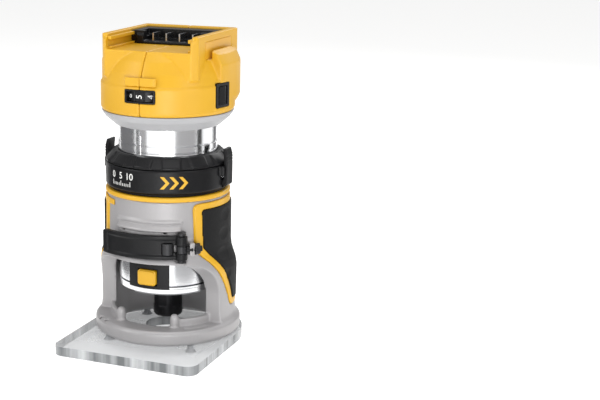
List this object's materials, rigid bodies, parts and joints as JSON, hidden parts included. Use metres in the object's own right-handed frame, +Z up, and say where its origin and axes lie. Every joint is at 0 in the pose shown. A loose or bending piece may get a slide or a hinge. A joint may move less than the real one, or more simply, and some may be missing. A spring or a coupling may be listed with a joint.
{
  "type": "trim router",
  "caption": "Hand-held cordless trim router in a round fixed base with a clear D-shaped sub-base, clamp lever, depth ring and open battery bay.",
  "frame": {"origin": "spindle axis at the underside of the sub-base", "axes": "+Z up along the spindle, -Y towards the front with the dial and clamp lever, +X towards the power switch"},
  "size_m": [0.1062, 0.1325, 0.217],
  "materials": {
    "cast_aluminium": "grey powder-coated casting",
    "clear_polycarbonate": "clear moulded sheet",
    "steel": "bright steel",
    "yellow_plastic": "fine moulded texture",
    "black_rubber": "soft over-mould",
    "dark_steel": "black oxide",
    "black_steel": "black oxide",
    "black_plastic": "fine moulded texture",
    "machined_aluminium": "turned and polished",
    "grey_plastic": "light grey moulding",
    "label_film": "blank film",
    "board": "solder mask",
    "clear_lens": "clear lens",
    "copper_wire": "enamelled wire"
  },
  "bodies": {
    "base": {"base_casting": "cast_aluminium", "sub_base": "clear_polycarbonate", "sub_base_screws": "steel", "base_trim_ring": "yellow_plastic", "left_grip": "black_rubber", "right_grip": "black_rubber", "left_grip_border": "yellow_plastic", "right_grip_border": "yellow_plastic", "lever_pin": "dark_steel", "clamp_screw": "dark_steel", "clamp_nut": "dark_steel", "ring_carrier": "black_plastic", "tab_pins": "steel", "tab_springs": "steel"},
    "lever": {"clamp_lever": "black_plastic", "lever_cam": "dark_steel"},
    "depth_ring": {"adjustment_ring": "black_plastic"},
    "left_tab": {"left_release_tab": "black_plastic"},
    "right_tab": {"right_release_tab": "black_plastic"},
    "motor": {"motor_tube": "machined_aluminium", "neck_cone": "grey_plastic", "head_left_shell": "yellow_plastic", "head_right_shell": "yellow_plastic", "housing_screws": "dark_steel", "bay_rails": "yellow_plastic", "terminal_block": "black_plastic", "terminal_blades": "steel", "label_plate": "label_film", "dial_pin": "steel", "dial_bezel": "black_plastic", "head_pad": "yellow_plastic", "switch_frame": "black_plastic", "switch_body": "black_plastic", "control_board": "board", "nose_housing": "machined_aluminium", "light_ring": "clear_lens", "lock_panel": "black_plastic", "lock_spring": "steel", "stator_core": "dark_steel", "stator_windings": "copper_wire", "lower_bearing": "steel", "upper_bearing": "steel", "bearing_retainer": "steel", "upper_bracket": "machined_aluminium"},
    "dial": {"speed_dial": "black_plastic"},
    "rocker": {"switch_rocker": "black_plastic"},
    "lock": {"lock_button": "yellow_plastic", "lock_pin": "dark_steel"},
    "shaft": {"spindle": "steel", "rotor_magnet": "dark_steel", "fan": "black_plastic"},
    "collet": {"collet": "dark_steel"},
    "nut": {"collet_nut": "black_steel"}
  },
  "joints": [
    {"name": "motor_slide", "type": "slide", "parent": "base", "child": "motor", "axis": [0, 0, 1], "range_m": [-0.016, 0.012]},
    {"name": "ring_turn", "type": "hinge", "parent": "base", "child": "depth_ring", "pos_m": [0, 0, 0.13], "axis": [0, 0, 1], "range_deg": [-961, 721]},
    {"name": "lever_swing", "type": "hinge", "parent": "base", "child": "lever", "pos_m": [0.02727, -0.03754, 0.0743], "axis": [0, 0, 1], "range_deg": [0, 120]},
    {"name": "left_tab_press", "type": "hinge", "parent": "base", "child": "left_tab", "pos_m": [-0.0423, 0, 0.1238], "axis": [0, -1, 0], "range_deg": [0, 6], "stiffness_Nm_per_rad": 0.5, "springref_deg": -5.73},
    {"name": "right_tab_press", "type": "hinge", "parent": "base", "child": "right_tab", "pos_m": [0.0423, 0, 0.1238], "axis": [0, 1, 0], "range_deg": [0, 6], "stiffness_Nm_per_rad": 0.5, "springref_deg": -5.73},
    {"name": "dial_turn", "type": "hinge", "parent": "motor", "child": "dial", "pos_m": [0, -0.033, 0.1778], "axis": [0, 0, 1], "range_deg": [0, 240]},
    {"name": "rocker_press", "type": "hinge", "parent": "motor", "child": "rocker", "pos_m": [0.04255, -0.00904, 0.17675], "axis": [0, 0, 1], "range_deg": [-12, 0]},
    {"name": "lock_press", "type": "slide", "parent": "motor", "child": "lock", "axis": [0, 1, 0], "range_m": [0, 0.0035], "stiffness_N_per_m": 600, "springref_m": -0.003, "deforming": ["lock_spring"]},
    {"name": "spindle_spin", "type": "hinge", "parent": "motor", "child": "shaft", "pos_m": [0, 0, 0.09], "axis": [0, 0, 1], "continuous": true},
    {"name": "collet_draw", "type": "slide", "parent": "shaft", "child": "collet", "axis": [0, 0, -1], "range_m": [0, 0.00101]},
    {"name": "nut_turn", "type": "hinge", "parent": "collet", "child": "nut", "pos_m": [0, 0, 0.025], "axis": [0, 0, 1], "range_deg": [0, 360]}
  ],
  "couplings": [
    {"joint": "ring_turn", "follows": "motor_slide", "rad_per_m": 1047.2},
    {"joint": "collet_draw", "follows": "nut_turn", "m_per_rad": 0.00015915}
  ]
}
